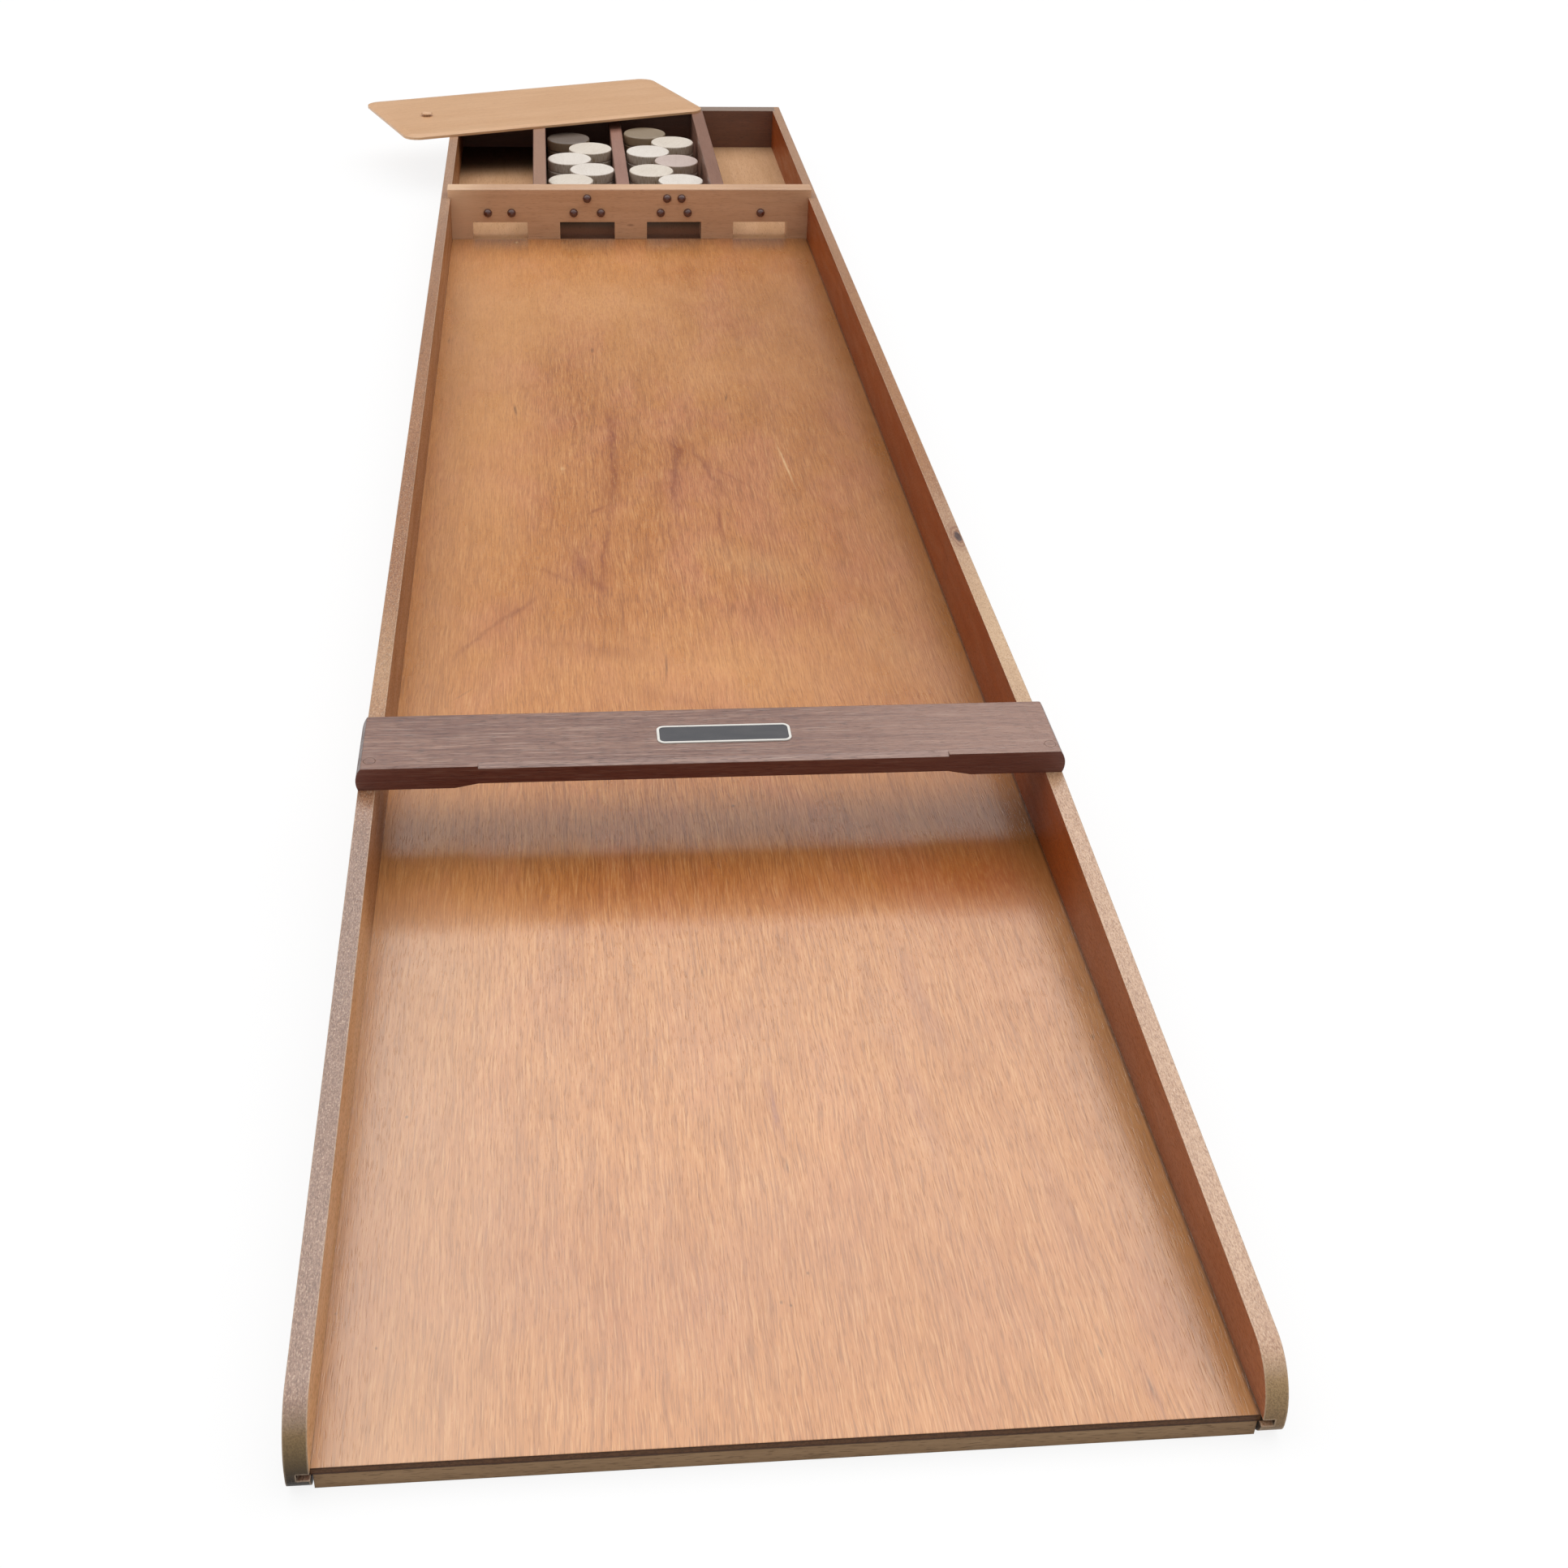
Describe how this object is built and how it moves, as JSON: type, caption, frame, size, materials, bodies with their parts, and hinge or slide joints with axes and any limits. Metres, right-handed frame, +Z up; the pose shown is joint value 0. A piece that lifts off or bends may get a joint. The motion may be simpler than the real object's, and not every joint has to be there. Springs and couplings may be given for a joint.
{
  "type": "dutch shuffleboard",
  "caption": "Long wooden shuffleboard lane with side rails, a throwing bar, a pierced gate bar, a divided box, a loose lid and stacked wooden discs.",
  "frame": {"origin": "on the ground, at the centre of the middle batten's underside, halfway along the board over the side rails and centred between them", "axes": "+Y along the lane from the player's end to the box, +X across to the player's right, +Z up"},
  "size_m": [0.5231, 2.1269, 0.0738],
  "materials": {
    "lane_plywood": "satin varnish",
    "box_plywood": "unvarnished",
    "rail_wood": "satin varnish",
    "batten_wood": "plain",
    "bar_wood": "satin varnish",
    "screw_steel": "dulled",
    "plate_white": "matte print",
    "plate_grey": "matte print",
    "gate_wood": "satin varnish",
    "pin_wood": "gloss varnish",
    "box_wood": "satin varnish",
    "lid_wood": "matte varnish",
    "disc_wood": "sanded, waxed"
  },
  "bodies": {
    "board": {"floor_panel": "lane_plywood", "box_floor": "box_plywood", "rail_left": "rail_wood", "rail_right": "rail_wood", "batten_front": "batten_wood", "batten_middle": "batten_wood", "batten_rear": "batten_wood", "cross_bar": "bar_wood", "cross_bar_screws": "screw_steel", "cross_bar_plugs": "bar_wood", "badge_plate": "plate_white", "badge_field": "plate_grey", "gate_bar": "gate_wood", "pins_gate_a": "pin_wood", "pins_gate_b": "pin_wood", "pins_gate_c": "pin_wood", "pins_gate_d": "pin_wood", "back_wall": "box_wood", "divider_left": "box_wood", "divider_middle": "box_wood", "divider_right": "box_wood"},
    "lid": {"lid": "lid_wood", "lid_knob": "lid_wood"},
    "puck_2a1": {"puck_2a1": "disc_wood"},
    "puck_2a2": {"puck_2a2": "disc_wood"},
    "puck_2a3": {"puck_2a3": "disc_wood"},
    "puck_2b1": {"puck_2b1": "disc_wood"},
    "puck_2b2": {"puck_2b2": "disc_wood"},
    "puck_2b3": {"puck_2b3": "disc_wood"},
    "puck_2c1": {"puck_2c1": "disc_wood"},
    "puck_2c2": {"puck_2c2": "disc_wood"},
    "puck_2c3": {"puck_2c3": "disc_wood"},
    "puck_2d1": {"puck_2d1": "disc_wood"},
    "puck_2d2": {"puck_2d2": "disc_wood"},
    "puck_2d3": {"puck_2d3": "disc_wood"},
    "puck_2e1": {"puck_2e1": "disc_wood"},
    "puck_2e2": {"puck_2e2": "disc_wood"},
    "puck_2e3": {"puck_2e3": "disc_wood"},
    "puck_3a1": {"puck_3a1": "disc_wood"},
    "puck_3a2": {"puck_3a2": "disc_wood"},
    "puck_3a3": {"puck_3a3": "disc_wood"},
    "puck_3b1": {"puck_3b1": "disc_wood"},
    "puck_3b2": {"puck_3b2": "disc_wood"},
    "puck_3b3": {"puck_3b3": "disc_wood"},
    "puck_3c1": {"puck_3c1": "disc_wood"},
    "puck_3c2": {"puck_3c2": "disc_wood"},
    "puck_3c3": {"puck_3c3": "disc_wood"},
    "puck_3d1": {"puck_3d1": "disc_wood"},
    "puck_3d2": {"puck_3d2": "disc_wood"},
    "puck_3d3": {"puck_3d3": "disc_wood"},
    "puck_3e1": {"puck_3e1": "disc_wood"},
    "puck_3e2": {"puck_3e2": "disc_wood"},
    "puck_3e3": {"puck_3e3": "disc_wood"},
    "puck_3f1": {"puck_3f1": "disc_wood"},
    "puck_3f2": {"puck_3f2": "disc_wood"},
    "puck_3f3": {"puck_3f3": "disc_wood"}
  },
  "joints": [
    {"name": "lid_lift", "type": "slide", "parent": "board", "child": "lid", "axis": [0, 0, 1], "range_m": [0, 0.15]},
    {"name": "puck_2a1_lift", "type": "slide", "parent": "board", "child": "puck_2a1", "axis": [0, 0, 1], "range_m": [0, 0.06]},
    {"name": "puck_2a2_lift", "type": "slide", "parent": "puck_2a1", "child": "puck_2a2", "axis": [0, 0, 1], "range_m": [0, 0.06]},
    {"name": "puck_2a3_lift", "type": "slide", "parent": "puck_2a2", "child": "puck_2a3", "axis": [0, 0, 1], "range_m": [0, 0.06]},
    {"name": "puck_2b1_lift", "type": "slide", "parent": "board", "child": "puck_2b1", "axis": [0, 0, 1], "range_m": [0, 0.06]},
    {"name": "puck_2b2_lift", "type": "slide", "parent": "puck_2b1", "child": "puck_2b2", "axis": [0, 0, 1], "range_m": [0, 0.06]},
    {"name": "puck_2b3_lift", "type": "slide", "parent": "puck_2b2", "child": "puck_2b3", "axis": [0, 0, 1], "range_m": [0, 0.06]},
    {"name": "puck_2c1_lift", "type": "slide", "parent": "board", "child": "puck_2c1", "axis": [0, 0, 1], "range_m": [0, 0.06]},
    {"name": "puck_2c2_lift", "type": "slide", "parent": "puck_2c1", "child": "puck_2c2", "axis": [0, 0, 1], "range_m": [0, 0.06]},
    {"name": "puck_2c3_lift", "type": "slide", "parent": "puck_2c2", "child": "puck_2c3", "axis": [0, 0, 1], "range_m": [0, 0.06]},
    {"name": "puck_2d1_lift", "type": "slide", "parent": "board", "child": "puck_2d1", "axis": [0, 0, 1], "range_m": [0, 0.06]},
    {"name": "puck_2d2_lift", "type": "slide", "parent": "puck_2d1", "child": "puck_2d2", "axis": [0, 0, 1], "range_m": [0, 0.06]},
    {"name": "puck_2d3_lift", "type": "slide", "parent": "puck_2d2", "child": "puck_2d3", "axis": [0, 0, 1], "range_m": [0, 0.06]},
    {"name": "puck_2e1_lift", "type": "slide", "parent": "board", "child": "puck_2e1", "axis": [0, 0, 1], "range_m": [0, 0.009]},
    {"name": "puck_2e2_lift", "type": "slide", "parent": "puck_2e1", "child": "puck_2e2", "axis": [0, 0, 1], "range_m": [0, 0.009]},
    {"name": "puck_2e3_lift", "type": "slide", "parent": "puck_2e2", "child": "puck_2e3", "axis": [0, 0, 1], "range_m": [0, 0.009]},
    {"name": "puck_3a1_lift", "type": "slide", "parent": "board", "child": "puck_3a1", "axis": [0, 0, 1], "range_m": [0, 0.06]},
    {"name": "puck_3a2_lift", "type": "slide", "parent": "puck_3a1", "child": "puck_3a2", "axis": [0, 0, 1], "range_m": [0, 0.06]},
    {"name": "puck_3a3_lift", "type": "slide", "parent": "puck_3a2", "child": "puck_3a3", "axis": [0, 0, 1], "range_m": [0, 0.06]},
    {"name": "puck_3b1_lift", "type": "slide", "parent": "board", "child": "puck_3b1", "axis": [0, 0, 1], "range_m": [0, 0.06]},
    {"name": "puck_3b2_lift", "type": "slide", "parent": "puck_3b1", "child": "puck_3b2", "axis": [0, 0, 1], "range_m": [0, 0.06]},
    {"name": "puck_3b3_lift", "type": "slide", "parent": "puck_3b2", "child": "puck_3b3", "axis": [0, 0, 1], "range_m": [0, 0.06]},
    {"name": "puck_3c1_lift", "type": "slide", "parent": "board", "child": "puck_3c1", "axis": [0, 0, 1], "range_m": [0, 0.06]},
    {"name": "puck_3c2_lift", "type": "slide", "parent": "puck_3c1", "child": "puck_3c2", "axis": [0, 0, 1], "range_m": [0, 0.06]},
    {"name": "puck_3c3_lift", "type": "slide", "parent": "puck_3c2", "child": "puck_3c3", "axis": [0, 0, 1], "range_m": [0, 0.06]},
    {"name": "puck_3d1_lift", "type": "slide", "parent": "board", "child": "puck_3d1", "axis": [0, 0, 1], "range_m": [0, 0.06]},
    {"name": "puck_3d2_lift", "type": "slide", "parent": "puck_3d1", "child": "puck_3d2", "axis": [0, 0, 1], "range_m": [0, 0.06]},
    {"name": "puck_3d3_lift", "type": "slide", "parent": "puck_3d2", "child": "puck_3d3", "axis": [0, 0, 1], "range_m": [0, 0.06]},
    {"name": "puck_3e1_lift", "type": "slide", "parent": "board", "child": "puck_3e1", "axis": [0, 0, 1], "range_m": [0, 0.06]},
    {"name": "puck_3e2_lift", "type": "slide", "parent": "puck_3e1", "child": "puck_3e2", "axis": [0, 0, 1], "range_m": [0, 0.06]},
    {"name": "puck_3e3_lift", "type": "slide", "parent": "puck_3e2", "child": "puck_3e3", "axis": [0, 0, 1], "range_m": [0, 0.06]},
    {"name": "puck_3f1_lift", "type": "slide", "parent": "board", "child": "puck_3f1", "axis": [0, 0, 1], "range_m": [0, 0.009]},
    {"name": "puck_3f2_lift", "type": "slide", "parent": "puck_3f1", "child": "puck_3f2", "axis": [0, 0, 1], "range_m": [0, 0.009]},
    {"name": "puck_3f3_lift", "type": "slide", "parent": "puck_3f2", "child": "puck_3f3", "axis": [0, 0, 1], "range_m": [0, 0.009]}
  ]
}
